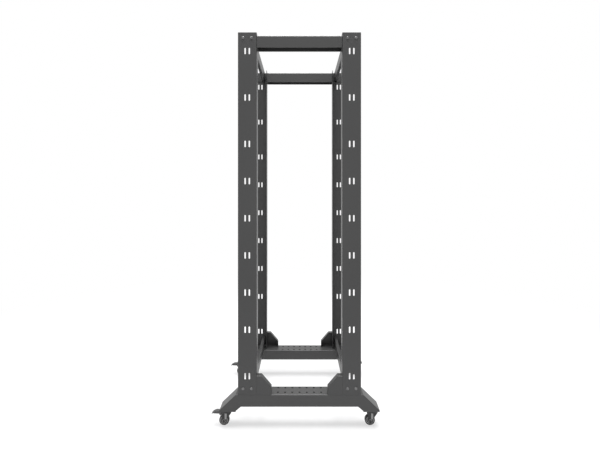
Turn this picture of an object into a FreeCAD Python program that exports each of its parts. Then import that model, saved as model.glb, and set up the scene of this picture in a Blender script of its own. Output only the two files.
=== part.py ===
import FreeCAD, Part
import os
import Sketcher
from FreeCAD import Placement, Rotation, Vector

# Four post open frame rack for 19 inch equipment, on swivel casters.
# Frame: X runs along the rack's depth (front at -X), Y across its width, Z up.
# The origin is on the floor, midway between the four caster swivels. Lengths are in mm.

doc = FreeCAD.newDocument("OpenFrameRack")
sheet = doc.addObject("Spreadsheet::Sheet", "dims")

# ---------------------------------------------------------------- driving dimensions

sizes = {
    # Equipment space
    "rack_unit": 44.45,  # height of one rack unit
    "units": 36,  # rack units of equipment space
    "end_margin": 66.675,  # plain post above and below the equipment space
    "hole_first": 6.35,  # edge of a unit to its first square hole's centre
    "hole_step": 15.875,  # between the three square holes of a unit
    "square_hole": 9.5,  # side of a square hole
    "hole_edge": 7.55,  # square holes' centre line to the free edge of the post's flange
    "rail_opening": 450,  # clear width between the post flanges
    # Posts
    "steel": 2,  # sheet thickness of the folded parts
    "bend": 1.5,  # inner radius of the folds
    "rack_depth": 590,  # outside of the front posts to outside of the rear posts
    "post_web": 90,  # width of a post's web
    "post_flange": 52,  # depth of a post's flanges
    "slot_wide": 7.3,  # width of a lashing slot
    "slot_long": 31,  # length of a lashing slot
    "slot_apart": 20,  # between the two slots of a pair
    "slot_corner": 2.2,  # chamfer that rounds off a slot's corners
    "slot_pitch_units": 5,  # rack units between slot pairs near the post's ends
    "slot_close_units": 4,  # rack units between slot pairs in the middle
    # Beams that join the posts
    "cross_wide": 60,  # width of a cross beam's end plates
    "cross_lip": 16,  # width of a cross beam's two lips
    "cross_tall": 56,  # height of a cross beam
    "side_wide": 50,  # width of a top side beam
    "side_tall": 56,  # height of a top side beam
    "side_drop": 16,  # top of the posts to the top of a side beam
    # Base units and their feet
    "foot_level": 83,  # floor to the underside of the feet
    "base_rise": 82,  # underside of the feet to the top of the base
    "base_wide": 75,  # width of a base unit
    "beam_tall": 57,  # height of the base beam between the feet
    "shoulder_out": 10,  # outer face of a post to where the base's top turns down
    "haunch_in": 25,  # from there back to where the underside turns down
    "toe_out": 79,  # from there out to the tip of a foot
    "foot_long": 78,  # length of a foot's flat
    "foot_plate": 4,  # thickness of a foot plate
    "toe_tall": 3,  # upright end of a foot above its plate
    "base_holes": 7,  # square holes in a row along the base's top
    "base_hole_step": 35,  # between the square holes of a row
    "base_row_outer": 22,  # outer face of the base to the outer row of holes
    "base_row_gap": 40,  # between the two rows of holes
    # Gussets between base and posts
    "gusset_long": 70,  # length of a gusset along the base
    "gusset_tall": 90,  # height of a gusset
    "gusset_top": 22,  # length of a gusset's level top edge
    "gusset_nose": 35,  # height of a gusset's upright inner edge
    "gusset_fold": 27,  # width of the fold round a gusset's edge
    # Casters
    "swivel_in": 29,  # tip of a foot to the caster's swivel axis
    "trail": 12,  # swivel axis to wheel axle
    "wheel_r": 25,  # radius of a wheel
    "wheel_wide": 18,  # width of a wheel
    "tread": 6,  # thickness of the tyre
    "tyre_chamfer": 2,  # chamfer of the tyre's shoulders
    "hub_wide": 17,  # width of the hub
    "side_play": 2.5,  # running gap beside the wheel
    "axle_r": 4,  # radius of the axle
    "running_fit": 0.1,  # radial clearance of a turning pin
    "axle_head_across": 12,  # across the flats of the axle's heads
    "axle_head": 3,  # thickness of an axle head
    "leg_sheet": 3,  # thickness of a fork leg
    "leg_end": 9,  # axle to the end of a fork leg
    "leg_top": 48,  # width of a fork leg at the crown
    "leg_shoulder": 14,  # upright edge of a fork leg below the crown's top
    "crown_r": 25.5,  # radius of the fork's crown
    "crown_tall": 10.5,  # height of the fork's crown
    "race_gap": 0.5,  # running gap between the crown and its collar
    "collar_r": 24,  # radius of the collar under the foot plate
    "collar_tall": 4,  # height of the collar
    "kingpin_r": 6,  # radius of the kingpin
    "nut_across": 17,  # across the flats of the kingpin's nut
    "nut_tall": 4,  # height of that nut
    # Brake pedals of the two front casters
    "pedal_wide": 19,  # width of a brake pedal
    "pedal_pivot_in": 17,  # swivel axis to the pedal's pivot
    "pedal_pivot_down": 16.5,  # top of the fork's crown to the pedal's pivot
    "trunnion_r": 2.5,  # radius of the pedal's trunnions
    "pedal_boss_r": 5,  # radius of the pedal round its pivot
    "pedal_reach": 74,  # swivel axis to the pedal's tip
    "lug_inset": 1,  # how far the lever's corners stay inside its pivot's boss and its tip
    "shoe_near": 15,  # wheel axle out to the near end of the brake shoe
    "shoe_near_up": 22,  # wheel axle up to that end, without the gap
    "shoe_far": 20,  # wheel axle out to the far end of the brake shoe
    "shoe_far_up": 19,  # wheel axle up to that end, without the gap
    "heel_out": 25,  # wheel axle out to the start of the arch under the pedal
    "heel_down": 7,  # pedal's pivot down to that start
    "under_arch_r": 25,  # radius of the arch under the pedal
    "tip_down": 9,  # pedal's pivot down to the underside of its tip
    "tip_tall": 3,  # height of the tip's end face
    "over_arch_r": 35,  # radius of the arch over the pedal
    "arch_out": 30.5,  # swivel axis out to the top of that arch
    "arch_up": 6,  # pedal's pivot up to the top of that arch
    "shoe_gap": 3.4,  # brake shoe to tyre, with the pedal up
}

# Sizes that follow from the ones above
formulas = {
    "post_long": "=units * rack_unit + 2 * end_margin",  # length of a post
    "slot_step": "=slot_pitch_units * rack_unit",  # between slot pairs near the post's ends
    "close_span": "=(units - 1) * rack_unit - 3 * slot_step",  # stretch of the post with closer slot pairs
    "close_steps": "=round(close_span / (slot_close_units * rack_unit))",  # spaces in that stretch
    "close_step": "=close_span / close_steps",  # between slot pairs in that stretch
    "rack_wide": "=rail_opening + 2 * post_flange",  # outside width of the rack
    "base_reach": "=rack_depth / 2 + shoulder_out",  # middle of the base to where its top turns down
    "haunch_reach": "=base_reach - haunch_in",  # middle of the base to where its underside turns down
    "foot_reach": "=base_reach + toe_out",  # middle of the base to the tip of a foot
    "swivel_reach": "=foot_reach - swivel_in",  # middle of the rack to a caster's swivel axis
    "base_top": "=foot_level + base_rise",  # floor to the top of the base
    "foot_top": "=foot_level + foot_plate",  # floor to the top of a foot plate
    "toe_top": "=foot_top + toe_tall",  # floor to the top of a foot's upright end
    "leg_slope": "=atan((base_top - toe_top) / (foot_reach - base_reach))",  # slope of a leg
    "crown_top": "=foot_level - collar_tall - race_gap",  # floor to the top of the fork's crown
    "crown_low": "=crown_top - crown_tall",  # floor to the underside of the fork's crown
    "fork_gap": "=wheel_wide + 2 * side_play",  # between the two legs of a fork
    "fork_wide": "=fork_gap + 2 * leg_sheet",  # outside width of a fork
    # slope of a gusset's free edge
    "gusset_slant": "=atan((gusset_tall - gusset_nose) / (gusset_long - gusset_top))",
    "hub_r": "=wheel_r - tread",  # radius of a hub
    "pivot_level": "=crown_top - pedal_pivot_down",  # floor to the pedal's pivot
}

for row, (alias, value) in enumerate((sizes | formulas).items(), start=1):
    sheet.set(f"A{row}", alias)
    sheet.set(f"B{row}", str(value))
    sheet.setAlias(f"B{row}", alias)
doc.recompute()

# ---------------------------------------------------------------- helpers

HORIZONTAL, UPRIGHT_ALONG, UPRIGHT_ACROSS = "XY_Plane", "XZ_Plane", "YZ_Plane"
subparts = []


def new_body(name):
    """Start one sub-part."""
    body = doc.addObject("PartDesign::Body", name)
    body.Label = name
    subparts.append(body)
    return body


def place(body, x, y, z="0", turn=0):
    """Stand a sub-part at a place given by expressions, turned about Z by whole degrees."""
    body.Placement = Placement(Vector(), Rotation(Vector(0, 0, 1), turn))
    for axis, text in (("x", x), ("y", y), ("z", z)):
        body.setExpression(f"Placement.Base.{axis}", text)


def new_sketch(body, name, plane, offset="0"):
    """Add a sketch on one of the body's own planes, moved along the plane's normal."""
    sketch = body.newObject("Sketcher::SketchObject", name)
    support = [p for p in body.Origin.OriginFeatures if p.Role == plane]
    sketch.AttachmentSupport = [(support[0], "")]
    sketch.MapMode = "FlatFace"
    sketch.setExpression("AttachmentOffset.Base.z", offset)
    return sketch


def hold(sketch, kind, where, text):
    """Constrain a sketch and bind the constraint's value to an expression."""
    index = sketch.addConstraint(Sketcher.Constraint(kind, *where, sketch.evalExpression(text)))
    sketch.setExpression(f"Constraints[{index}]", text)


def pin_point(sketch, curve, end, across, up):
    """Hold one end of a curve at a point given by two expressions."""
    hold(sketch, "DistanceX", (-1, 1, curve, end), across)
    hold(sketch, "DistanceY", (-1, 1, curve, end), up)


def add_outline(sketch, corners):
    """Draw a closed outline through corners (across, up). A corner with a third entry starts
    an arc of that radius, which bulges to the left of the way the outline runs."""
    points = [Vector(sketch.evalExpression(c[0]), sketch.evalExpression(c[1]), 0) for c in corners]
    count = len(corners)
    first = sketch.GeometryCount
    for i, corner in enumerate(corners):
        here, after = points[i], points[(i + 1) % count]
        if len(corner) == 2:
            sketch.addGeometry(Part.LineSegment(here, after), False)
            continue
        chord = after - here
        radius = sketch.evalExpression(corner[2])
        rise = radius - (radius ** 2 - (chord.Length / 2) ** 2) ** 0.5
        left = Vector(-chord.y, chord.x, 0).normalize()
        sketch.addGeometry(Part.Arc(here, (here + after) * 0.5 + left * rise, after), False)
    for i, corner in enumerate(corners):
        start = 2 if len(corner) == 3 else 1
        following = (i + 1) % count
        end = 1 if len(corner) == 3 else 2
        next_start = 2 if len(corners[following]) == 3 else 1
        sketch.addConstraint(Sketcher.Constraint(
            "Coincident", first + i, end, first + following, next_start))
        pin_point(sketch, first + i, start, corner[0], corner[1])
        if len(corner) == 3:
            hold(sketch, "Radius", (first + i,), corner[2])


def add_box(sketch, across, up, wide, tall):
    """Draw a rectangle centred at a point given by expressions."""
    low, high = f"{across} - {wide} / 2", f"{across} + {wide} / 2"
    under, over = f"{up} - {tall} / 2", f"{up} + {tall} / 2"
    add_outline(sketch, [(low, under), (high, under), (high, over), (low, over)])


def add_slot(sketch, across, up):
    """Draw an upright lashing slot centred at a point given by expressions."""
    side, inner = "dims.slot_wide / 2", "(dims.slot_wide / 2 - dims.slot_corner)"
    end, shoulder = "dims.slot_long / 2", "(dims.slot_long / 2 - dims.slot_corner)"
    add_outline(sketch, [(f"{across} {x}", f"{up} {z}") for x, z in (
        (f"- {inner}", f"- {end}"), (f"+ {inner}", f"- {end}"),
        (f"+ {side}", f"- {shoulder}"), (f"+ {side}", f"+ {shoulder}"),
        (f"+ {inner}", f"+ {end}"), (f"- {inner}", f"+ {end}"),
        (f"- {side}", f"+ {shoulder}"), (f"- {side}", f"- {shoulder}"))])


def add_circle(sketch, across, up, radius):
    """Draw a circle held at a centre and a radius given by expressions."""
    centre = Vector(sketch.evalExpression(across), sketch.evalExpression(up), 0)
    curve = sketch.addGeometry(
        Part.Circle(centre, Vector(0, 0, 1), sketch.evalExpression(radius)), False)
    pin_point(sketch, curve, 3, across, up)
    hold(sketch, "Radius", (curve,), radius)


def add_hexagon(sketch, across, up, flats):
    """Draw a hexagon of a given size across its flats, with two corners level."""
    flat, point = f"{flats} / 2", f"{flats} / sqrt(3)"
    add_outline(sketch, [
        (f"{across} + {point}", up), (f"{across} + {point} / 2", f"{up} + {flat}"),
        (f"{across} - {point} / 2", f"{up} + {flat}"), (f"{across} - {point}", up),
        (f"{across} - {point} / 2", f"{up} - {flat}"), (f"{across} + {point} / 2", f"{up} - {flat}")])


def pad(body, sketch, length, both_ways=False, reverse=False):
    """Pad a sketch by an expression, one way or centred on the sketch."""
    feature = body.newObject("PartDesign::Pad", sketch.Name + "_pad")
    feature.Profile = sketch
    feature.setExpression("Length", length)
    feature.SideType = "Symmetric" if both_ways else "One side"
    feature.Reversed = reverse
    return feature


def pocket(body, sketch, length, both_ways=False):
    """Cut a sketch by an expression, against its normal or centred on the sketch."""
    feature = body.newObject("PartDesign::Pocket", sketch.Name + "_cut")
    feature.Profile = sketch
    feature.setExpression("Length", length)
    feature.SideType = "Symmetric" if both_ways else "One side"
    return feature


def repeat(body, feature, axis, length, copies):
    """Repeat a feature along one of the body's own axes; length spans first to last copy."""
    pattern = body.newObject("PartDesign::LinearPattern", feature.Name + "_row")
    pattern.Originals = [feature]
    line = [a for a in body.Origin.OriginFeatures if a.Role == axis]
    pattern.Direction = (line[0], [""])
    pattern.setExpression("Length", length)
    pattern.setExpression("Occurrences", copies)
    body.Tip = pattern
    return pattern


def fold(body, feature, corners):
    """Round the upright edges of a folded sheet: outside corners get the bend radius plus
    the sheet. Each corner is (x, y, outside)."""
    doc.recompute()
    for outside in (True, False):
        wanted = [(body.evalExpression(x), body.evalExpression(y))
                  for x, y, is_outside in corners if is_outside == outside]
        names = []
        for number, edge in enumerate(feature.Shape.Edges, start=1):
            ends = [v.Point for v in edge.Vertexes]
            upright = len(ends) == 2 and abs(ends[0].z - ends[1].z) > edge.Length / 2
            if upright and any(abs(ends[0].x - x) < 0.01 and abs(ends[0].y - y) < 0.01
                               for x, y in wanted):
                names.append(f"Edge{number}")
        name = f"{feature.Name}_{'outer' if outside else 'inner'}_folds"
        rounded = body.newObject("PartDesign::Fillet", name)
        rounded.Base = (feature, names)
        rounded.setExpression("Radius", "dims.bend + dims.steel" if outside else "dims.bend")
        doc.recompute()
        feature = rounded
    return feature


# ---------------------------------------------------------------- posts


def build_post(name, hand):
    """Folded channel: the web lies at y = 0 with lashing slots, the flanges run towards +y,
    and the flange on the side of hand (-1 or 1 along x) has the square equipment holes."""
    body = new_body(name)
    edge = "dims.post_web / 2"
    wall = "(dims.post_web / 2 - dims.steel)"
    profile = new_sketch(body, name + "_section", HORIZONTAL)
    add_outline(profile, [
        (f"-{edge}", "0"), (edge, "0"), (edge, "dims.post_flange"), (wall, "dims.post_flange"),
        (wall, "dims.steel"), (f"-{wall}", "dims.steel"), (f"-{wall}", "dims.post_flange"),
        (f"-{edge}", "dims.post_flange")])
    channel = pad(body, profile, "dims.post_long")
    fold(body, channel, [(f"-{edge}", "0", True), (edge, "0", True),
                         (f"-{wall}", "dims.steel", False), (wall, "dims.steel", False)])

    lowest = "dims.end_margin + dims.rack_unit / 2"
    groups = (
        ("bottom_slots", lowest, "dims.slot_step", "2"),
        ("middle_slots", f"{lowest} + dims.slot_step + dims.close_step",
         "(dims.close_steps - 2) * dims.close_step", "dims.close_steps - 1"),
        ("top_slots", f"{lowest} + dims.slot_step + dims.close_span", "2 * dims.slot_step", "3"),
    )
    for label, level, span, copies in groups:
        pair = new_sketch(body, f"{name}_{label}", UPRIGHT_ALONG)
        for half in ("-", ""):
            add_slot(pair, f"{half}dims.slot_apart / 2", level)
        repeat(body, pocket(body, pair, "dims.steel"), "Z_Axis", span, copies)

    flange_middle = f"{hand} * (dims.post_web - dims.steel) / 2"
    unit_holes = new_sketch(body, name + "_unit_holes", UPRIGHT_ACROSS, flange_middle)
    for step in range(3):
        add_box(unit_holes, "dims.post_flange - dims.hole_edge",
                f"dims.end_margin + dims.hole_first + {step} * dims.hole_step",
                "dims.square_hole", "dims.square_hole")
    holes = pocket(body, unit_holes, "2 * dims.steel", both_ways=True)
    repeat(body, holes, "Z_Axis", "(dims.units - 1) * dims.rack_unit", "dims.units")
    return body


SIDES = (("right", -1), ("left", 1))
ENDS = (("front", -1), ("rear", 1))

for end_name, end in ENDS:
    for side_name, side in SIDES:
        # A post turned half round lands on the opposite corner, so two hands serve all four.
        hand = end * -side
        post = build_post(f"post_{end_name}_{side_name}", hand)
        place(post, f"{end} * (dims.rack_depth - dims.post_web) / 2", f"{side} * dims.rack_wide / 2",
              "dims.base_top", 0 if side < 0 else 180)

# ---------------------------------------------------------------- beams between the posts


def build_side_beam(name, length, wide, tall):
    """Folded beam, closed on top and at both ends and open underneath; it runs along x."""
    body = new_body(name)
    plan = new_sketch(body, name + "_plan", HORIZONTAL)
    add_box(plan, "0", "0", length, wide)
    pad(body, plan, tall)
    doc.recompute()
    inside = new_sketch(body, name + "_inside", HORIZONTAL, f"{tall} - dims.steel")
    add_box(inside, "0", "0", f"({length} - 2 * dims.steel)", f"({wide} - 2 * dims.steel)")
    pocket(body, inside, tall)
    return body


def build_cross_beam(name, length):
    """Channel on edge with its web at y = 0, its lips towards +y and a wider plate welded
    across each end; it runs along x."""
    body = new_body(name)
    section = new_sketch(body, name + "_section", UPRIGHT_ACROSS)
    add_outline(section, [
        ("0", "0"), ("dims.cross_lip", "0"), ("dims.cross_lip", "dims.steel"),
        ("dims.steel", "dims.steel"), ("dims.steel", "dims.cross_tall - dims.steel"),
        ("dims.cross_lip", "dims.cross_tall - dims.steel"), ("dims.cross_lip", "dims.cross_tall"),
        ("0", "dims.cross_tall")])
    pad(body, section, length, both_ways=True)
    doc.recompute()
    for label, half in (("first", "-"), ("last", "")):
        end_plate = new_sketch(body, f"{name}_{label}_plate", UPRIGHT_ACROSS,
                               f"{half}({length} - dims.steel) / 2")
        add_box(end_plate, "dims.cross_wide / 2", "dims.cross_tall / 2",
                "dims.cross_wide", "dims.cross_tall")
        pad(body, end_plate, "dims.steel", both_ways=True)
        doc.recompute()
    return body


post_top = "dims.base_top + dims.post_long"
for side_name, side in SIDES:
    beam = build_side_beam(f"top_side_beam_{side_name}", "(dims.rack_depth - 2 * dims.post_web)",
                           "dims.side_wide", "dims.side_tall")
    place(beam, "0", f"{side} * (dims.rack_wide - dims.side_wide) / 2",
          f"{post_top} - dims.side_drop - dims.side_tall")

for end_name, end in ENDS:
    for level_name, level in (("top", f"{post_top} - dims.cross_tall"), ("bottom", "dims.base_top")):
        beam = build_cross_beam(f"{level_name}_cross_beam_{end_name}",
                                "(dims.rack_wide - 2 * dims.steel)")
        place(beam, f"{end} * (dims.rack_depth - dims.post_web - dims.cross_wide) / 2", "0", level,
              end * -90)

# ---------------------------------------------------------------- base units


def build_base(name):
    """Folded base unit with its two splayed feet: outer face at y = 0, width towards +y, open
    underneath, with two rows of square holes in the top."""
    body = new_body(name)
    side_view = new_sketch(body, name + "_side", UPRIGHT_ALONG)
    half = [("dims.foot_reach", "dims.toe_top"), ("dims.foot_reach", "dims.foot_top"),
            ("(dims.foot_reach - dims.foot_long)", "dims.foot_top"),
            ("dims.haunch_reach", "(dims.base_top - dims.beam_tall)")]
    shoulder = ("dims.base_reach", "dims.base_top")
    right_half = [shoulder] + half
    left_half = [("-" + across, up) for across, up in reversed(right_half)]
    add_outline(side_view, right_half + left_half)
    pad(body, side_view, "dims.base_wide", reverse=True)
    doc.recompute()

    # The inside keeps one sheet thickness under the top, the slopes and the toes.
    inside = new_sketch(body, name + "_inside", UPRIGHT_ALONG, "-dims.steel")
    crease = "dims.steel * tan(dims.leg_slope / 2)"
    toe_crease = "dims.steel * tan(45 deg - dims.leg_slope / 2)"
    inner_half = [(f"(dims.base_reach - {crease})", "dims.base_top - dims.steel"),
                  ("(dims.foot_reach - dims.steel)", f"dims.toe_top - {toe_crease}"),
                  ("(dims.foot_reach - dims.steel)", "dims.foot_level")]
    add_outline(inside, inner_half + [("-" + across, up) for across, up in reversed(inner_half)])
    pocket(body, inside, "dims.base_wide - 2 * dims.steel")
    doc.recompute()

    hole_pair = new_sketch(body, name + "_hole_pair", HORIZONTAL, "dims.base_top")
    row_half = "(dims.base_holes - 1) * dims.base_hole_step"
    for row in range(2):
        add_box(hole_pair, f"-{row_half} / 2", f"dims.base_row_outer + {row} * dims.base_row_gap",
                "dims.square_hole", "dims.square_hole")
    repeat(body, pocket(body, hole_pair, "dims.steel"), "X_Axis", row_half, "dims.base_holes")
    return body


def build_gusset(name, hand):
    """Folded gusset: a plate at y = 0 that stands on the base and against a post on the side of
    hand (-1 or 1 along x), with a fold round its free edges that runs towards +y."""
    body = new_body(name)
    plate = new_sketch(body, name + "_plate", UPRIGHT_ALONG)
    post_side = f"{hand} * dims.gusset_long / 2"
    free_side = f"{-hand} * dims.gusset_long / 2"
    top_end = f"{hand} * (dims.gusset_long / 2 - dims.gusset_top)"
    add_outline(plate, [(post_side, "0"), (post_side, "dims.gusset_tall"),
                        (top_end, "dims.gusset_tall"), (free_side, "dims.gusset_nose"),
                        (free_side, "0")])
    pad(body, plate, "dims.gusset_fold", reverse=True)
    doc.recompute()

    # Inside the fold: one sheet thickness in from the upright, slanted and level edges.
    slant = "dims.gusset_slant"
    inside = new_sketch(body, name + "_inside", UPRIGHT_ALONG, "-dims.steel")
    inner_free = f"{-hand} * (dims.gusset_long / 2 - dims.steel)"
    inner_top = f"{hand} * (dims.gusset_long / 2 - dims.gusset_top + dims.steel * tan({slant} / 2))"
    add_outline(inside, [
        (post_side, "0"), (post_side, "dims.gusset_tall - dims.steel"),
        (inner_top, "dims.gusset_tall - dims.steel"),
        (inner_free, f"dims.gusset_nose - dims.steel * tan(45 deg - {slant} / 2)"),
        (inner_free, "0")])
    pocket(body, inside, "dims.gusset_fold")
    return body


for side_name, side in SIDES:
    turn = 0 if side < 0 else 180
    base = build_base(f"base_{side_name}")
    place(base, "0", f"{side} * dims.rack_wide / 2", "0", turn)
    for end_name, end in ENDS:
        gusset = build_gusset(f"gusset_{end_name}_{side_name}", end * -side)
        place(gusset, f"{end} * (dims.rack_depth / 2 - dims.post_web - dims.gusset_long / 2)",
              f"{side} * dims.rack_wide / 2", "dims.base_top", turn)

# ---------------------------------------------------------------- feet and casters


def build_foot_plate(name):
    """Plate welded under a leg; the swivel axis is at x = 0 and the toe is towards -x."""
    body = new_body(name)
    plan = new_sketch(body, name + "_plan", HORIZONTAL)
    toe = "-(dims.foot_reach - dims.swivel_reach)"
    half_wide = "dims.base_wide / 2"
    add_outline(plan, [(toe, f"-{half_wide}"), (f"{toe} + dims.foot_long", f"-{half_wide}"),
                       (f"{toe} + dims.foot_long", half_wide), (toe, half_wide)])
    pad(body, plan, "dims.foot_plate")
    return body


def build_kingpin(name):
    """Kingpin welded to the foot plate by its collar, with a nut that holds the fork's crown
    up from below; heights are from the floor."""
    body = new_body(name)
    section = new_sketch(body, name + "_section", UPRIGHT_ALONG)
    nut_top = "(dims.crown_low - dims.race_gap)"
    collar_low = "(dims.foot_level - dims.collar_tall)"
    add_outline(section, [
        ("0", nut_top), ("dims.kingpin_r", nut_top), ("dims.kingpin_r", collar_low),
        ("dims.collar_r", collar_low), ("dims.collar_r", "dims.foot_level"),
        ("0", "dims.foot_level")])
    turned = body.newObject("PartDesign::Revolution", name + "_turned")
    turned.Profile = section
    turned.ReferenceAxis = (section, ["V_Axis"])
    turned.Angle = 360
    doc.recompute()
    nut = new_sketch(body, name + "_nut", HORIZONTAL, nut_top)
    add_hexagon(nut, "0", "0", "dims.nut_across")
    pad(body, nut, "dims.nut_tall", reverse=True)
    return body


def build_fork(name, with_pedal):
    """Pressed fork with its axle: a round crown bored for the kingpin, two tapered legs, and
    the riveted axle between them; braked forks also have the pedal's pivot holes."""
    body = new_body(name)
    crown = new_sketch(body, name + "_crown", HORIZONTAL, "dims.crown_low")
    add_circle(crown, "0", "0", "dims.crown_r")
    pad(body, crown, "dims.crown_tall")
    doc.recompute()

    leg = new_sketch(body, name + "_legs", UPRIGHT_ALONG)
    edge, shoulder = "dims.leg_top / 2", "dims.crown_top - dims.leg_shoulder"
    leg_top = "dims.crown_top - dims.steel"
    add_outline(leg, [
        (f"-{edge}", leg_top), (f"-{edge}", shoulder), ("-dims.trail - dims.leg_end", "dims.wheel_r"),
        ("-dims.trail - dims.leg_end / 2", "dims.wheel_r - dims.leg_end"),
        ("-dims.trail + dims.leg_end / 2", "dims.wheel_r - dims.leg_end"),
        ("-dims.trail + dims.leg_end", "dims.wheel_r"), (edge, shoulder), (edge, leg_top)])
    pad(body, leg, "dims.fork_wide", both_ways=True)
    doc.recompute()
    opening = new_sketch(body, name + "_opening", UPRIGHT_ALONG)
    clear = "2 * dims.crown_r"
    add_outline(opening, [(f"-{clear}", "0"), (clear, "0"), (clear, "dims.crown_low"),
                          (f"-{clear}", "dims.crown_low")])
    pocket(body, opening, "dims.fork_gap", both_ways=True)
    doc.recompute()
    bore = new_sketch(body, name + "_bore", HORIZONTAL, "dims.crown_top")
    add_circle(bore, "0", "0", "dims.kingpin_r + dims.running_fit")
    pocket(body, bore, "dims.crown_tall")
    if with_pedal:
        pivot = new_sketch(body, name + "_pivot_holes", UPRIGHT_ALONG)
        add_circle(pivot, "-dims.pedal_pivot_in", "dims.pivot_level",
                   "dims.trunnion_r + dims.running_fit")
        pocket(body, pivot, "2 * dims.fork_wide", both_ways=True)
        doc.recompute()

    axle = new_sketch(body, name + "_axle", UPRIGHT_ALONG)
    add_circle(axle, "-dims.trail", "dims.wheel_r", "dims.axle_r")
    pad(body, axle, "dims.fork_wide", both_ways=True)
    doc.recompute()
    for face, offset, reverse in (("near", "dims.fork_wide / 2", False),
                                  ("far", "-dims.fork_wide / 2", True)):
        head = new_sketch(body, f"{name}_{face}_head", UPRIGHT_ALONG, offset)
        add_hexagon(head, "-dims.trail", "dims.wheel_r", "dims.axle_head_across")
        pad(body, head, "dims.axle_head", reverse=reverse)
    return body


def turn_about_axle(name, section_corners):
    """Turn a section about the wheel's axle, which runs along y. Corners are (distance from
    the axle, place along it)."""
    body = new_body(name)
    section = new_sketch(body, name + "_section", HORIZONTAL)
    add_outline(section, section_corners)
    turned = body.newObject("PartDesign::Revolution", name + "_turned")
    turned.Profile = section
    turned.ReferenceAxis = (section, ["V_Axis"])
    turned.Angle = 360
    return body


def both_halves(corners):
    """Complete a section that is alike on both sides of the wheel's middle."""
    return corners + [(away, f"-({along})") for away, along in reversed(corners)]


def build_hub(name):
    """Moulded hub that turns on the axle and carries the tyre."""
    bore = "dims.axle_r + dims.running_fit"
    half = [(bore, "dims.hub_wide / 2"), ("dims.hub_r", "dims.hub_wide / 2")]
    return turn_about_axle(name, both_halves(half))


def build_tyre(name):
    """Tyre with chamfered shoulders, moulded on the hub."""
    half = [("dims.hub_r", "dims.wheel_wide / 2"),
            ("dims.wheel_r - dims.tyre_chamfer", "dims.wheel_wide / 2"),
            ("dims.wheel_r", "dims.wheel_wide / 2 - dims.tyre_chamfer")]
    return turn_about_axle(name, both_halves(half))


def build_pedal(name):
    """Brake pedal: an arched lever with its shoe over the tyre, hung in the fork on its own
    trunnions. Seen from the side at y = 0, the tip is towards -x."""
    body = new_body(name)
    side_view = new_sketch(body, name + "_side", UPRIGHT_ALONG)
    pivot_x, pivot_z = "-dims.pedal_pivot_in", "dims.pivot_level"
    tip = "-dims.pedal_reach"
    add_outline(side_view, [
        (f"{pivot_x} + dims.lug_inset", f"{pivot_z} + dims.pedal_boss_r - dims.lug_inset"),
        (f"{pivot_x} + dims.lug_inset", f"{pivot_z} - dims.pedal_boss_r + dims.lug_inset"),
        ("-dims.trail - dims.shoe_near", "dims.wheel_r + dims.shoe_near_up + dims.shoe_gap"),
        ("-dims.trail - dims.shoe_far", "dims.wheel_r + dims.shoe_far_up + dims.shoe_gap"),
        ("-dims.trail - dims.heel_out", f"{pivot_z} - dims.heel_down", "dims.under_arch_r"),
        (tip, f"{pivot_z} - dims.tip_down"),
        (f"{tip} + dims.lug_inset", f"{pivot_z} - dims.tip_down + dims.tip_tall", "dims.over_arch_r"),
        ("-dims.arch_out", f"{pivot_z} + dims.arch_up"),
    ])
    pad(body, side_view, "dims.pedal_wide", both_ways=True)
    doc.recompute()
    boss = new_sketch(body, name + "_boss", UPRIGHT_ALONG)
    add_circle(boss, pivot_x, pivot_z, "dims.pedal_boss_r")
    pad(body, boss, "dims.pedal_wide", both_ways=True)
    doc.recompute()
    trunnions = new_sketch(body, name + "_trunnions", UPRIGHT_ALONG)
    add_circle(trunnions, pivot_x, pivot_z, "dims.trunnion_r")
    pad(body, trunnions, "dims.fork_wide", both_ways=True)
    return body


swivel_y = "(dims.rack_wide - dims.base_wide) / 2"
for end_name, end in ENDS:
    for side_name, side in SIDES:
        corner = f"{end_name}_{side_name}"
        swivel = (f"{end} * dims.swivel_reach", f"{side} * {swivel_y}")
        axle = (f"{end} * dims.swivel_reach - dims.trail", f"{side} * {swivel_y}", "dims.wheel_r")
        place(build_foot_plate(f"foot_plate_{corner}"), *swivel, "dims.foot_level",
              0 if end < 0 else 180)
        place(build_kingpin(f"kingpin_{corner}"), *swivel)
        place(build_fork(f"caster_fork_{corner}", with_pedal=end < 0), *swivel)
        place(build_hub(f"wheel_hub_{corner}"), *axle)
        place(build_tyre(f"wheel_tyre_{corner}"), *axle)
        if end < 0:
            place(build_pedal(f"brake_pedal_{side_name}"), *swivel)

# ---------------------------------------------------------------- check and write

doc.recompute()
for thing in doc.Objects:
    if "Invalid" in thing.State or "Error" in thing.State:
        raise RuntimeError(f"{thing.Name} is {thing.State}")
for body in subparts:
    if body.Shape.isNull() or not body.Shape.isValid() or len(body.Shape.Solids) != 1:
        raise RuntimeError(f"{body.Label} is not one valid solid")

os.makedirs("parts", exist_ok=True)
for body in subparts:
    body.Shape.exportStep(f"parts/{body.Label}.step")
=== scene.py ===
import math

import bmesh
import bpy
from mathutils import Matrix, Vector


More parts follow.
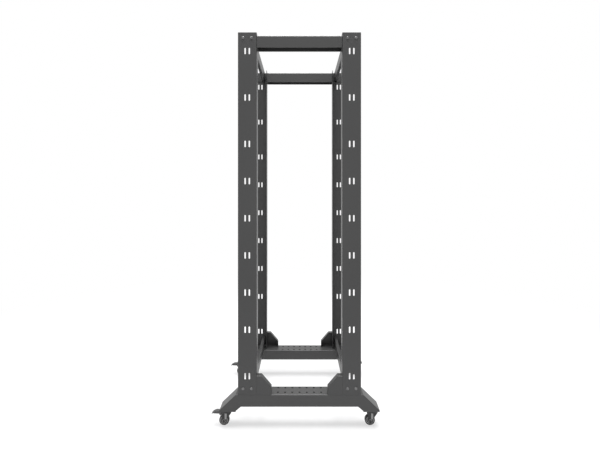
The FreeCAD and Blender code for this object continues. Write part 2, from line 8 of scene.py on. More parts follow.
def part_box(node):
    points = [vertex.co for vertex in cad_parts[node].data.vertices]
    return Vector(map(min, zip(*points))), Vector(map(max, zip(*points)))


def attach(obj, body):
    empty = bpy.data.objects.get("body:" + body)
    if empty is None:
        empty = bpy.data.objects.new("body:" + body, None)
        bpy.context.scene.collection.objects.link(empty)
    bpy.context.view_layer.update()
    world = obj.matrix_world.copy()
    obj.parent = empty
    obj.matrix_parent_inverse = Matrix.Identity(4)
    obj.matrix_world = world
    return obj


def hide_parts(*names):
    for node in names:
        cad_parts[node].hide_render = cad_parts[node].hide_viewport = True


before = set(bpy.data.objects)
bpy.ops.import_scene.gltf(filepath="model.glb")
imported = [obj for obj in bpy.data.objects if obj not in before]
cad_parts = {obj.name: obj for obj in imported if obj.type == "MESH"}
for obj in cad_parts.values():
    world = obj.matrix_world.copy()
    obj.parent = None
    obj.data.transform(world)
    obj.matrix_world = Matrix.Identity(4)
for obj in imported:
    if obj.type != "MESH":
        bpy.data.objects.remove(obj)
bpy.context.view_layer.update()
scene = bpy.context.scene
scene.view_settings.view_transform = "Standard"


# ---------------------------------------------------------------- camera
# A level view square on to the rack's right side, from about chest height, with a
# wide lens and the frame shifted down to take in the floor.
view_width = 2.8692               # across the view, at the near face of the posts
camera_distance = 1.66            # from that face
camera_height = 1.116
camera_x = 0.0024
frame_shift = -0.0483333          # downwards, as a share of the view's width

near_face_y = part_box("post_front_right")[0][1]
camera_data = bpy.data.cameras.new("camera")
camera_data.sensor_width = 36
camera_data.lens = camera_data.sensor_width * camera_distance / view_width
camera_data.shift_y = frame_shift
camera_data.clip_start = 0.05
camera = bpy.data.objects.new("camera", camera_data)
camera.location = (camera_x, near_face_y - camera_distance, camera_height)
camera.rotation_euler = (math.radians(90), 0, 0)
scene.collection.objects.link(camera)
scene.camera = camera


# ---------------------------------------------------------------- studio
# A plain matt white floor that runs out into a white surround, with one wide
# soft lamp overhead and one large weak one behind the camera.
floor_reach = 12.0
near_white = 0.65                 # how far the floor is lifted to plain white under the rack
white_from, white_to = 1.3, 3.2   # where it starts to turn plain white, and where it is
surround_light = 0.26             # what the surround gives the rack; it is seen at 1
lamps = (                         # name, place, looks at, width, watts
    ("overhead_lamp", (0.0, -0.2, 5.5), (0.0, 0.0, 0.9), 3.5, 690),
    ("camera_side_lamp", (0.0, -5.0, 1.0), (0.0, 0.0, 0.8), 3.0, 20),
)


def linear(code):
    """The linear colour of an sRGB hex value."""
    def channel(text):
        value = int(text, 16) / 255
        return value / 12.92 if value <= 0.04045 else ((value + 0.055) / 1.055) ** 2.4
    return tuple(channel(code[i:i + 2]) for i in (1, 3, 5)) + (1.0,)


def add_node(tree, kind, values=None, links=None, **settings):
    """Adds one node with its socket values, links from other nodes' sockets, and settings."""
    node = tree.nodes.new(kind)
    for name, value in settings.items():
        setattr(node, name, value)
    for name, value in (values or {}).items():
        node.inputs[name].default_value = value
    for name, socket in (links or {}).items():
        tree.links.new(socket, node.inputs[name])
    return node


def blank_finish(name):
    """A new material with an empty node tree."""
    finish = bpy.data.materials.new(name)
    finish.use_nodes = True
    finish.node_tree.nodes.clear()
    return finish


# Matt white paint takes a soft shadow under the rack and shows no sheen. Further
# out it fades to plain white, so that floor and surround meet without a line.
floor_paint = blank_finish("matt_white_studio_floor")
tree = floor_paint.node_tree
place = add_node(tree, "ShaderNodeTexCoord")
reach = add_node(tree, "ShaderNodeVectorMath", links={0: place.outputs["Object"]}, operation="LENGTH")
fade = add_node(tree, "ShaderNodeMapRange",
                {"From Min": white_from, "From Max": white_to, "To Min": near_white},
                {"Value": reach.outputs["Value"]}, interpolation_type="SMOOTHSTEP")
rays = add_node(tree, "ShaderNodeLightPath")
seen = add_node(tree, "ShaderNodeMath", None,
                {0: rays.outputs["Is Camera Ray"], 1: rays.outputs["Is Glossy Ray"]},
                operation="MAXIMUM")
share = add_node(tree, "ShaderNodeMath", None,
                 {0: fade.outputs["Result"], 1: seen.outputs["Value"]}, operation="MULTIPLY")
paint = add_node(tree, "ShaderNodeBsdfDiffuse", {"Color": linear("#E9E9EA")})
plain = add_node(tree, "ShaderNodeEmission", {"Color": linear("#FFFFFF")})
mixed = add_node(tree, "ShaderNodeMixShader", None,
                 {0: share.outputs["Value"], 1: paint.outputs["BSDF"], 2: plain.outputs["Emission"]})
add_node(tree, "ShaderNodeOutputMaterial", None, {"Surface": mixed.outputs["Shader"]})

floor_mesh = bpy.data.meshes.new("floor")
floor_corners = [(x * floor_reach, y * floor_reach, 0)
                 for x, y in ((-1, -1), (1, -1), (1, 1), (-1, 1))]
floor_mesh.from_pydata(floor_corners, [], [(0, 1, 2, 3)])
floor_mesh.materials.append(floor_paint)
floor = bpy.data.objects.new("floor", floor_mesh)
scene.collection.objects.link(floor)

surround = bpy.data.worlds.new("white_surround")
scene.world = surround
surround.use_nodes = True
tree = surround.node_tree
tree.nodes.clear()
rays = add_node(tree, "ShaderNodeLightPath")
direct = add_node(tree, "ShaderNodeMath", None,
                  {0: rays.outputs["Is Camera Ray"], 1: rays.outputs["Is Transmission Ray"]},
                  operation="MAXIMUM")
seen = add_node(tree, "ShaderNodeMath", None,
                {0: direct.outputs["Value"], 1: rays.outputs["Is Glossy Ray"]}, operation="MAXIMUM")
strength = add_node(tree, "ShaderNodeMapRange", {"To Min": surround_light, "To Max": 1.0},
                    {"Value": seen.outputs["Value"]})
sky = add_node(tree, "ShaderNodeBackground", {"Color": linear("#FFFFFF")},
               {"Strength": strength.outputs["Result"]})
add_node(tree, "ShaderNodeOutputWorld", None, {"Surface": sky.outputs["Background"]})

for name, spot, target, width, watts in lamps:
    lamp = bpy.data.lights.new(name, "AREA")
    lamp.shape = "SQUARE"
    lamp.size = width
    lamp.energy = watts
    holder = bpy.data.objects.new(name, lamp)
    holder.location = spot
    holder.rotation_euler = (Vector(target) - Vector(spot)).to_track_quat("-Z", "Y").to_euler()
    scene.collection.objects.link(holder)


# ---------------------------------------------------------------- wheel tyres
# Each tyre is a solid ring of dark grey rubber moulded on to its wheel, with
# rounded shoulders, a low crown and a fine mould line round the middle.
SIDES, ENDS = ("right", "left"), ("front", "rear")
corners = [f"{end}_{side}" for end in ENDS for side in SIDES]
turning_steps = 72
shoulder, shoulder_steps = 0.0032, 5   # round from a tyre's side to its tread
crown, crown_half = 0.0005, 0.0022     # rise of the tread, and half the width of its top
line_foot, line_top = 0.0006, 0.0003   # half widths of the mould line
tyre_lip = 0.0012                      # chamfer where the tyre meets its hub
sharp_rim = 32                         # degrees: what turns more than this keeps a sharp edge
dust_mm = 16.67                        # size of the patches of dust


def to_mesh(name, shape, sharp_from=None):
    """The mesh of a bmesh, with its edges sharp from the angle given in degrees."""
    mesh = bpy.data.meshes.new(name)
    shape.to_mesh(mesh)
    shape.free()
    if sharp_from:
        mesh.set_sharp_from_angle(angle=math.radians(sharp_from))
    return mesh


def make_smooth(faces):
    """Shades faces smooth."""
    for face in faces:
        face.smooth = True


def revolve(name, profile, centre, steps=turning_steps):
    """A closed mesh turned about the Y axis through centre, from a closed profile of (y, radius)."""
    shape = bmesh.new()
    rings = []
    for step in range(steps):
        angle = math.tau * step / steps
        rings.append([shape.verts.new((centre[0] + radius * math.sin(angle), centre[1] + y,
                                       centre[2] + radius * math.cos(angle)))
                      for y, radius in profile])
    for step, ring in enumerate(rings):
        after = rings[(step + 1) % steps]
        for i in range(len(profile)):
            j = (i + 1) % len(profile)
            shape.faces.new((ring[i], ring[j], after[j], after[i]))
    bmesh.ops.remove_doubles(shape, verts=shape.verts, dist=1e-7)
    on_axis = [edge for edge in shape.edges if not edge.link_faces]
    bmesh.ops.delete(shape, geom=on_axis, context="EDGES")
    bmesh.ops.recalc_face_normals(shape, faces=shape.faces)
    make_smooth(shape.faces)
    return to_mesh(name, shape, sharp_rim)


def mirrored(half):
    """A closed profile of (y, radius) from the half of it on the +Y side."""
    return half + [(-y, radius) for y, radius in reversed(half)]


def turned_size(node):
    """The centre, radius and half width of a CAD node that is turned about the Y axis."""
    low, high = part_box(node)
    centre = [(a + b) / 2 for a, b in zip(low, high)]
    return centre, (high[2] - low[2]) / 2, (high[1] - low[1]) / 2


def add_piece(name, mesh, finish, body, slot, *nodes):
    """Puts a finished mesh in the scene, on its body and in place of the nodes it stands for."""
    mesh.materials.clear()
    mesh.materials.append(finish)
    piece = bpy.data.objects.new(name, mesh)
    scene.collection.objects.link(piece)
    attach(piece, body)
    if nodes:
        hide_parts(*nodes)


# Moulded rubber looks dull and even, with faint cloudy patches of floor dust. A Mix
# of colours takes them on its sockets 6 and 7, and gives the mixed one on output 2.
rubber = blank_finish("moulded_grey_rubber")
tree = rubber.node_tree
place = add_node(tree, "ShaderNodeTexCoord")
dust = add_node(tree, "ShaderNodeTexNoise",
                {"Scale": 1000 / dust_mm, "Detail": 4.0, "Roughness": 0.6},
                {"Vector": place.outputs["Object"]})
tint = add_node(tree, "ShaderNodeMix", {6: linear("#2C2C2C"), 7: linear("#3A3A3A")},
                {"Factor": dust.outputs["Fac"]}, data_type="RGBA")
bumps = add_node(tree, "ShaderNodeBump", {"Strength": 0.2, "Distance": 0.0002},
                 {"Height": dust.outputs["Fac"]})
skin = add_node(tree, "ShaderNodeBsdfPrincipled", {"IOR": 1.52, "Roughness": 0.62},
                {"Base Color": tint.outputs[2], "Normal": bumps.outputs["Normal"]})
add_node(tree, "ShaderNodeOutputMaterial", None, {"Surface": skin.outputs["BSDF"]})

wheels = {}                            # the centre of each wheel, and half its width
for corner in corners:
    centre, tyre_r, half_wide = turned_size(f"wheel_tyre_{corner}")
    hub_r = turned_size(f"wheel_hub_{corner}")[1]
    wheels[corner] = (centre, half_wide)
    half = [(half_wide - tyre_lip, hub_r), (half_wide, hub_r + tyre_lip),
            (half_wide, tyre_r - shoulder)]
    for step in range(1, shoulder_steps + 1):
        angle = math.radians(90 * step / shoulder_steps)
        half.append((half_wide - shoulder * (1 - math.cos(angle)),
                     tyre_r - shoulder + (shoulder - crown) * math.sin(angle)))
    half += [(crown_half, tyre_r - crown / 4), (line_foot, tyre_r - crown / 8), (line_top, tyre_r)]
    add_piece(f"tyre_{corner}", revolve(f"tyre_{corner}", mirrored(half), centre), rubber,
              f"wheel_{corner}", "tyre_rubber", f"wheel_tyre_{corner}")


# ---------------------------------------------------------------- wheel hubs
# Each hub is moulded from mid-grey nylon: a rim under the tyre, a thin web set
# back from both faces, a boss round the axle and eight ribs between them.
bore_r, boss_r = 0.0041, 0.0078
rim_wall = 0.0030                 # of the rim under the tyre
web_half = 0.0014                 # half the web's thickness
broken = 0.0002                   # each edge of the moulding is broken by a few times this
rib_count, rib_thick = 8, 0.0016
rib_inset = 0.0022                # the ribs' edges back from the hub's faces
rib_bite = 0.0005                 # how far a rib runs into the boss and the rim
flow_mm = 7.143                   # size of the patches that the flow in the mould leaves


def node_group(name, inputs):
    """An empty group with geometry in and out and named inputs, and its input sockets."""
    group = bpy.data.node_groups.new(name, "GeometryNodeTree")
    face = group.interface
    face.new_socket("Geometry", in_out="INPUT", socket_type="NodeSocketGeometry")
    for label, kind in inputs:
        face.new_socket(label, in_out="INPUT", socket_type="NodeSocket" + kind)
    face.new_socket("Geometry", in_out="OUTPUT", socket_type="NodeSocketGeometry")
    return group, add_node(group, "NodeGroupInput").outputs


def spoke_tree(name):
    """A node group that sets ribs like rays round the Y axis and gives them their finish."""
    tree, given = node_group(name, (
        ("Ribs", "Int"), ("Inner Radius", "Float"), ("Outer Radius", "Float"),
        ("Rib Thickness", "Float"), ("Rib Width", "Float"), ("Centre", "Vector"),
        ("Finish", "Material")))
    reaches = {0: given["Outer Radius"], 1: given["Inner Radius"]}
    span = add_node(tree, "ShaderNodeMath", None, reaches, operation="SUBTRACT")
    total = add_node(tree, "ShaderNodeMath", None, reaches, operation="ADD")
    middle = add_node(tree, "ShaderNodeMath", {1: 0.5}, {0: total.outputs[0]}, operation="MULTIPLY")
    size = add_node(tree, "ShaderNodeCombineXYZ", None,
                    {"X": given["Rib Thickness"], "Y": given["Rib Width"], "Z": span.outputs[0]})
    rib = add_node(tree, "GeometryNodeMeshCube", None, {"Size": size.outputs[0]})
    ring = add_node(tree, "GeometryNodeMeshCircle", None,
                    {"Vertices": given["Ribs"], "Radius": middle.outputs[0]})
    upright = add_node(tree, "GeometryNodeTransform", {"Rotation": (math.radians(90), 0, 0)},
                       {"Geometry": ring.outputs["Mesh"]})
    place = add_node(tree, "GeometryNodeInputPosition")
    turn = add_node(tree, "FunctionNodeAlignRotationToVector", None,
                    {"Vector": place.outputs["Position"]}, axis="Z", pivot_axis="Y")
    rays = add_node(tree, "GeometryNodeInstanceOnPoints", None,
                    {"Points": upright.outputs["Geometry"], "Instance": rib.outputs["Mesh"],
                     "Rotation": turn.outputs["Rotation"]})
    real = add_node(tree, "GeometryNodeRealizeInstances", None,
                    {"Geometry": rays.outputs["Instances"]})
    moved = add_node(tree, "GeometryNodeTransform", None,
                     {"Geometry": real.outputs["Geometry"], "Translation": given["Centre"]})
    both = add_node(tree, "GeometryNodeJoinGeometry")
    for source in (given["Geometry"], moved.outputs["Geometry"]):
        tree.links.new(source, both.inputs["Geometry"])
    done = add_node(tree, "GeometryNodeSetMaterial", None,
                    {"Geometry": both.outputs["Geometry"], "Material": given["Finish"]})
    add_node(tree, "NodeGroupOutput", None, {"Geometry": done.outputs["Geometry"]})
    return tree


def grow(mesh, tree, sizes):
    """Runs a node group with its named inputs on a mesh and returns the plain mesh it makes."""
    seed = bpy.data.objects.new(mesh.name + "_seed", mesh)
    scene.collection.objects.link(seed)
    modifier = seed.modifiers.new(tree.name, "NODES")
    modifier.node_group = tree
    sockets = {item.name: item.identifier for item in tree.interface.items_tree
               if item.in_out == "INPUT" and item.name in sizes}
    for label, value in sizes.items():
        modifier[sockets[label]] = value
    depsgraph = bpy.context.evaluated_depsgraph_get()
    grown = bpy.data.meshes.new_from_object(seed.evaluated_get(depsgraph), depsgraph=depsgraph)
    grown.name = mesh.name + "_grown"
    seed.modifiers.clear()
    bpy.data.objects.remove(seed)
    return grown


# Moulded nylon has a waxy half sheen, a little uneven where it flowed in the mould.
nylon = blank_finish("moulded_grey_nylon")
tree = nylon.node_tree
place = add_node(tree, "ShaderNodeTexCoord")
flow = add_node(tree, "ShaderNodeTexNoise", {"Scale": 1000 / flow_mm, "Detail": 3.0},
                {"Vector": place.outputs["Object"]})
sheen = add_node(tree, "ShaderNodeMapRange", {"To Min": 0.34, "To Max": 0.46},
                 {"Value": flow.outputs["Fac"]})
bumps = add_node(tree, "ShaderNodeBump", {"Strength": 0.12, "Distance": 0.0001},
                 {"Height": flow.outputs["Fac"]})
skin = add_node(tree, "ShaderNodeBsdfPrincipled", {"Base Color": linear("#8A8A8A"), "IOR": 1.53},
                {"Roughness": sheen.outputs["Result"], "Normal": bumps.outputs["Normal"]})
add_node(tree, "ShaderNodeOutputMaterial", None, {"Surface": skin.outputs["BSDF"]})

hub_ribs = spoke_tree("hub_ribs")
for corner in corners:
    centre, hub_r, hub_half = turned_size(f"wheel_hub_{corner}")
    rim_r = hub_r - rim_wall
    half = [(hub_half - 2 * broken, bore_r), (hub_half, bore_r + 2 * broken),
            (hub_half, boss_r - 3 * broken), (hub_half - 4 * broken, boss_r),
            (web_half, boss_r + 3 * broken), (web_half, rim_r - 3 * broken),
            (hub_half - 5 * broken, rim_r), (hub_half - broken, rim_r + 4 * broken),
            (hub_half - broken, hub_r - 2 * broken), (hub_half - 4 * broken, hub_r)]
    hub = grow(revolve(f"hub_{corner}", mirrored(half), centre), hub_ribs, {
        "Ribs": rib_count, "Inner Radius": boss_r - rib_bite, "Outer Radius": rim_r + rib_bite,
        "Rib Thickness": rib_thick, "Rib Width": 2 * (hub_half - rib_inset), "Centre": centre,
        "Finish": nylon})
    add_piece(f"hub_{corner}", hub, nylon, f"wheel_{corner}", "hub_plastic", f"wheel_hub_{corner}")


# ---------------------------------------------------------------- caster forks
# Each fork is pressed from thick steel sheet round its wheel and turns under the
# foot on a ball race. It is dipped in black, and has a zinc plated strap riveted
# down each leg and a washer under each head of its axle.
leg_thick, side_play = 0.003, 0.0025   # of a fork's legs, and between them and the wheel
strap_wide, strap_thick = 0.0100, 0.0013
strap_low, strap_high = 0.0335, 0.0640
strap_ahead = 0.003                    # middle of a strap forward of the swivel axis
rivet_r, rivet_tall, rivet_inset = 0.0027, 0.0011, 0.005
washer_r, washer_thick = 0.0081, 0.0011
head_turning_steps = 20                # of a rivet or a washer


def enamel(name, colour, roughness, grain_mm, depth, metallic=0.0):
    """A dipped, stoved or plated finish of one colour, with a grain in its gloss and relief."""
    finish = blank_finish(name)
    tree = finish.node_tree
    place = add_node(tree, "ShaderNodeTexCoord")
    grain = add_node(tree, "ShaderNodeTexNoise", {"Scale": 1000 / grain_mm, "Detail": 3.0},
                     {"Vector": place.outputs["Object"]})
    gloss = add_node(tree, "ShaderNodeMapRange",
                     {"To Min": roughness - 0.06, "To Max": roughness + 0.06},
                     {"Value": grain.outputs["Fac"]})
    bumps = add_node(tree, "ShaderNodeBump", {"Strength": 0.25, "Distance": depth},
                     {"Height": grain.outputs["Fac"]})
    skin = add_node(tree, "ShaderNodeBsdfPrincipled",
                    {"Base Color": linear(colour), "Metallic": metallic},
                    {"Roughness": gloss.outputs["Result"], "Normal": bumps.outputs["Normal"]})
    add_node(tree, "ShaderNodeOutputMaterial", None, {"Surface": skin.outputs["BSDF"]})
    return finish


def dress(nodes, finish):
    """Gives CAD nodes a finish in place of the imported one."""
    for name in nodes:
        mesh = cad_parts[name].data
        mesh.materials.clear()
        mesh.materials.append(finish)


def rounded_bar(name, low, high, edge, turn=0.0, about=(0, 0, 0)):
    """A box between two corners with all its edges rounded, turned about Y at a point."""
    shape = bmesh.new()
    middle = [(a + b) / 2 for a, b in zip(low, high)]
    span = [b - a for a, b in zip(low, high)]
    bmesh.ops.create_cube(shape, size=1, matrix=Matrix.Translation(middle) @ Matrix.Diagonal((*span, 1)))
    bmesh.ops.bevel(shape, geom=shape.edges[:], offset=edge, segments=3, profile=0.5, affect="EDGES")
    if turn:
        bmesh.ops.rotate(shape, verts=shape.verts, cent=about, matrix=Matrix.Rotation(turn, 3, "Y"))
    make_smooth(shape.faces)
    return to_mesh(name, shape)


def disc(name, centre, radius, tall, side):
    """A flat round head with a rounded rim, facing along Y on the side given by -1 or 1."""
    profile = [(0.0, 0.0), (0.0, radius), (tall * 0.5, radius), (tall * 0.85, radius * 0.9),
               (tall, radius * 0.7), (tall, 0.0)]
    return revolve(name, [(side * y, reach) for y, reach in profile], centre, head_turning_steps)


def join(name, meshes):
    """One mesh of several."""
    shape = bmesh.new()
    for part in meshes:
        shape.from_mesh(part)
    return to_mesh(name, shape)


# Dipped black is nearly black with a soft sheen. Dull zinc plate is a mid grey with the
# muted sheen of metal. Their real grain is too fine to show even in a close view, so it
# is drawn coarser than it is.
black_steel = enamel("black_dipped_steel", "#161616", 0.42, 2.0, 0.0001)
zinc = enamel("dull_zinc_plate", "#8C8C8C", 0.45, 2.857, 0.0001, metallic=0.6)
dress([f"caster_fork_{corner}" for corner in corners], black_steel)
dress([f"kingpin_{corner}" for corner in corners], zinc)

swivel_x = {}
for corner in corners:
    pin_low, pin_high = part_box(f"kingpin_{corner}")
    swivel_x[corner] = (pin_low[0] + pin_high[0]) / 2
    centre, half_wide = wheels[corner]
    strap_x = swivel_x[corner] - strap_ahead
    parts = []
    for side in (-1, 1):
        leg_face = centre[1] + side * (half_wide + side_play + leg_thick)
        parts.append(rounded_bar("strap", (strap_x - strap_wide / 2, leg_face - strap_thick, strap_low),
                                 (strap_x + strap_wide / 2, leg_face + strap_thick, strap_high),
                                 strap_thick * 0.6))
        rivet_y = leg_face + side * strap_thick * 0.9
        parts += [disc("rivet", (strap_x, rivet_y, level), rivet_r, rivet_tall, side)
                  for level in (strap_low + rivet_inset, strap_high - rivet_inset)]
        parts.append(disc("washer", (centre[0], leg_face, centre[2]), washer_r, washer_thick, side))
    add_piece(f"fork_straps_{corner}", join(f"fork_straps_{corner}", parts), zinc,
              f"swivel_{corner}", "caster_steel")


# ---------------------------------------------------------------- brake pedals
# Each front caster has a pressed steel lever, arched over the toe, with its two
# walls hung on the pivot, a rubbing shoe over the tyre and raised grip bars on
# its tip. It is stoved in dark grey enamel.
pivot_ahead, pivot_up = 0.017, 0.062     # forward of the swivel axis, and above the floor
pivot_r, pivot_turning_steps = 0.0025, 28
arch_r, arch_steps = 0.035, 14
tip_inset, tip_down = 0.0004, 0.0062     # the arch's tip back from the toe, and below the pivot
root_ahead, root_up = 0.0305, 0.0058     # its root ahead of the swivel axis, and above the pivot
tread_half, tread_thick, tread_edge = 0.0093, 0.0024, 0.0007
wall_thick, wall_edge = 0.0022, 0.0005
wall_under = 0.0015                      # top of a wall below the face of the tread
wall_from, wall_toe, toe_deep = 2, 5, 0.0090   # steps along the arch, and the wall's depth there
wall_heel = ((0.0035, 0.0035), (0.0045, -0.0015), (0.0005, -0.0045), (-0.0060, -0.0050),
             (-0.0140, -0.0052))         # a wall's corners round the pivot, from it
shoe_corners = ((0.0270, 0.0508), (0.0320, 0.0478), (0.0365, 0.0548), (0.0300, 0.0590),
                (0.0230, 0.0590))        # forward of the swivel axis, and above the floor
shoe_half, shoe_edge = 0.0085, 0.0006
grip_steps = (2, 4, 6)                   # where the grip bars lie along the arch
grip_half = Vector((0.0009, 0.0072))     # half a bar's width along the arch and across it
grip_down, grip_up, grip_edge = 0.0008, 0.0007, 0.0005
rim_turn, sharp_fold = 50, 40            # degrees: what is rounded, and what keeps a sharp edge


def round_rims(shape, edge, segments):
    """Rounds the edges where faces meet at more than the turn of a rim, and shades it all smooth."""
    bmesh.ops.recalc_face_normals(shape, faces=shape.faces)
    rims = [e for e in shape.edges if e.calc_face_angle(0) > math.radians(rim_turn)]
    bmesh.ops.bevel(shape, geom=rims, offset=edge, segments=segments, profile=0.5, affect="EDGES")
    make_smooth(shape.faces)


def ribbon(name, line, thick, half_wide, centre_y, edge):
    """A strip of sheet bent along a side view line of (x, z), of the given thickness below it."""
    shape = bmesh.new()
    rows = []
    for i, (x, z) in enumerate(line):
        before, after = line[max(i - 1, 0)], line[min(i + 1, len(line) - 1)]
        run = Vector((after[0] - before[0], after[1] - before[1])).normalized()
        under = Vector((run.y, -run.x)) * thick * (-1 if run.x < 0 else 1)
        section = ((-half_wide, 0, 0), (half_wide, 0, 0),
                   (half_wide, under.x, under.y), (-half_wide, under.x, under.y))
        rows.append([shape.verts.new((x + dx, centre_y + y, z + dz)) for y, dx, dz in section])
    for row, after in zip(rows, rows[1:]):
        for i in range(4):
            j = (i + 1) % 4
            shape.faces.new((row[i], row[j], after[j], after[i]))
    shape.faces.new(rows[0])
    shape.faces.new(rows[-1])
    round_rims(shape, edge, 3)
    return to_mesh(name, shape, sharp_fold)


def plate(name, outline, y_low, y_high, edge):
    """A flat plate upright in X and Z between two Y planes, with its rims rounded."""
    shape = bmesh.new()
    sides = [[shape.verts.new((x, y, z)) for x, z in outline] for y in (y_low, y_high)]
    for ring in sides:
        shape.faces.new(ring)
    for i in range(len(outline)):
        j = (i + 1) % len(outline)
        shape.faces.new((sides[0][i], sides[0][j], sides[1][j], sides[1][i]))
    round_rims(shape, edge, 2)
    return to_mesh(name, shape, sharp_fold)


def arc(start, end, radius, steps):
    """Points on the arc of a radius that rises over the chord from start to end."""
    chord = end - start
    across = Vector((chord.y, -chord.x)).normalized()
    middle = start + chord / 2 + across * math.sqrt(radius ** 2 - (chord.length / 2) ** 2)
    first = math.atan2(start.y - middle.y, start.x - middle.x)
    last = math.atan2(end.y - middle.y, end.x - middle.x)
    turns = [first + (last - first) * i / steps for i in range(steps + 1)]
    return [(middle.x + radius * math.cos(a), middle.y + radius * math.sin(a)) for a in turns]


# Stoving enamel gives a dark grey with a tight, even gloss, lighter than the fork. Its
# grain too is drawn coarser than it is.
grey_enamel = enamel("dark_grey_stoving_enamel", "#3C3C3C", 0.38, 2.0, 0.0001)

for side in SIDES:
    low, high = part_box(f"brake_pedal_{side}")
    centre_y = (low[1] + high[1]) / 2
    axis_x = swivel_x[f"front_{side}"]
    pivot_x = axis_x - pivot_ahead
    line = arc(Vector((low[0] + tip_inset, pivot_up - tip_down)),
               Vector((axis_x - root_ahead, pivot_up + root_up)), arch_r, arch_steps)
    parts = [ribbon("tread_plate", line, tread_thick, tread_half, centre_y, tread_edge)]

    wall = [(x, z - wall_under) for x, z in line[wall_from:]]
    wall += [(pivot_x + x, pivot_up + z) for x, z in wall_heel]
    wall.append((line[wall_toe][0], line[wall_toe][1] - toe_deep))
    for hand in (-1, 1):
        faces_y = sorted((centre_y + hand * tread_half, centre_y + hand * (tread_half - wall_thick)))
        parts.append(plate("wall", wall, *faces_y, wall_edge))

    shoe = [(axis_x - ahead, up) for ahead, up in shoe_corners]
    parts.append(plate("shoe", shoe, centre_y - shoe_half, centre_y + shoe_half, shoe_edge))
    pin_half = (high[1] - low[1]) / 2
    pin = [(-pin_half, 0.0), (-pin_half, pivot_r), (pin_half, pivot_r), (pin_half, 0.0)]
    parts.append(revolve("pivot_pin", pin, (pivot_x, centre_y, pivot_up), pivot_turning_steps))

    for i in grip_steps:
        (x, z), before, after = line[i], line[i - 1], line[i + 1]
        lean = math.atan2(after[1] - before[1], after[0] - before[0])
        parts.append(rounded_bar("grip", (x - grip_half.x, centre_y - grip_half.y, z - grip_down),
                                 (x + grip_half.x, centre_y + grip_half.y, z + grip_up), grip_edge,
                                 -lean, (x, centre_y, z)))
    add_piece(f"pedal_{side}", join(f"pedal_{side}", parts), grey_enamel, f"pedal_{side}",
              "pedal_steel", f"brake_pedal_{side}")


# ---------------------------------------------------------------- bases
# Each base is folded from 2 mm steel sheet, open underneath, with two rows of
# square holes along its top and a splayed foot at each end. Like the rest of the
# steelwork it is sprayed and baked in a black powder coat.
fold_round = 0.0028               # outside round of a fold
shortest_fold = 0.012             # what is shorter is a cut corner and stays sharp
narrowest_face = 0.0045           # the faces of a fold are broader than the sheet's cut edges
flat_within, fold_from = 0.3, 20  # degrees: what is one flat face, and what is a fold
drift_mm = 285.7                  # size of the slow changes of tone over a sprayed face
peel_mm = 3.0                     # the orange peel, drawn about twice its size to show close up

# Satin black powder coat looks like a deep grey-black with a soft sheen, which a
# fine orange peel breaks up and a slow drift of tone keeps from looking printed.
powder_coat = blank_finish("satin_black_powder_coat")
tree = powder_coat.node_tree
place = add_node(tree, "ShaderNodeTexCoord")
drift = add_node(tree, "ShaderNodeTexNoise",
                 {"Scale": 1000 / drift_mm, "Detail": 2.0, "Roughness": 0.5},
                 {"Vector": place.outputs["Object"]})
tint = add_node(tree, "ShaderNodeMix", {6: linear("#2F2F2F"), 7: linear("#343434")},
                {"Factor": drift.outputs["Fac"]}, data_type="RGBA")
peel = add_node(tree, "ShaderNodeTexNoise",
                {"Scale": 1000 / peel_mm, "Detail": 3.0, "Roughness": 0.55},
                {"Vector": place.outputs["Object"]})
gloss = add_node(tree, "ShaderNodeMapRange",
                 {"From Min": 0.3, "From Max": 0.7, "To Min": 0.36, "To Max": 0.46},
                 {"Value": peel.outputs["Fac"]})
bumps = add_node(tree, "ShaderNodeBump", {"Strength": 0.4, "Distance": 0.0003},
                 {"Height": peel.outputs["Fac"]})
skin = add_node(tree, "ShaderNodeBsdfPrincipled", {"IOR": 1.5},
                {"Base Color": tint.outputs[2], "Roughness": gloss.outputs["Result"],
                 "Normal": bumps.outputs["Normal"]})
add_node(tree, "ShaderNodeOutputMaterial", None, {"Surface": skin.outputs["BSDF"]})


def breadth(face):
    """About how wide a face is across its shorter way."""
    return 2 * face.calc_area() / face.calc_perimeter()


def soften(node, shortest):
    """A copy of a folded sheet node with a round on its folds that are longer than the shortest
    given; its cut rims stay sharp."""
    shape = bmesh.new()
    shape.from_mesh(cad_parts[node].data)
    bmesh.ops.remove_doubles(shape, verts=shape.verts, dist=1e-6)
    bmesh.ops.dissolve_limit(shape, angle_limit=math.radians(flat_within), verts=shape.verts,
                             edges=shape.edges)
    folds = [edge for edge in shape.edges
             if len(edge.link_faces) == 2
             and edge.calc_face_angle_signed(0) > math.radians(fold_from)
             and edge.calc_length() > shortest
             and min(breadth(face) for face in edge.link_faces) > narrowest_face]
    if folds:
        made = bmesh.ops.bevel(shape, geom=folds, offset=fold_round, segments=4, profile=0.5,
                               affect="EDGES")
        make_smooth(made["faces"])
    return to_mesh(node + "_softened", shape)


def spray(node, shortest=shortest_fold):
    """Puts a softened and coated copy of a sheet node in its place on the rack."""
    add_piece(f"coated_{node}", soften(node, shortest), powder_coat, "rack", "black_powder_coat", node)


for side in SIDES:
    spray(f"base_{side}")


# ---------------------------------------------------------------- gussets and foot plates
# Four folded gussets of the same sheet brace the posts. Each stands on a base,
# against the inward side of a post, and is welded to both. A 4 mm plate is welded
# under each foot of a base and takes its caster.
for part in ("gusset", "foot_plate"):
    for corner in corners:
        spray(f"{part}_{corner}")


# ---------------------------------------------------------------- posts
# Each post is a channel of 2 mm sheet that stands on a base, open towards the
# middle of the rack, with nine pairs of slots in its web and a column of square
# holes in its outward flange.
dress([f"post_{corner}" for corner in corners], powder_coat)


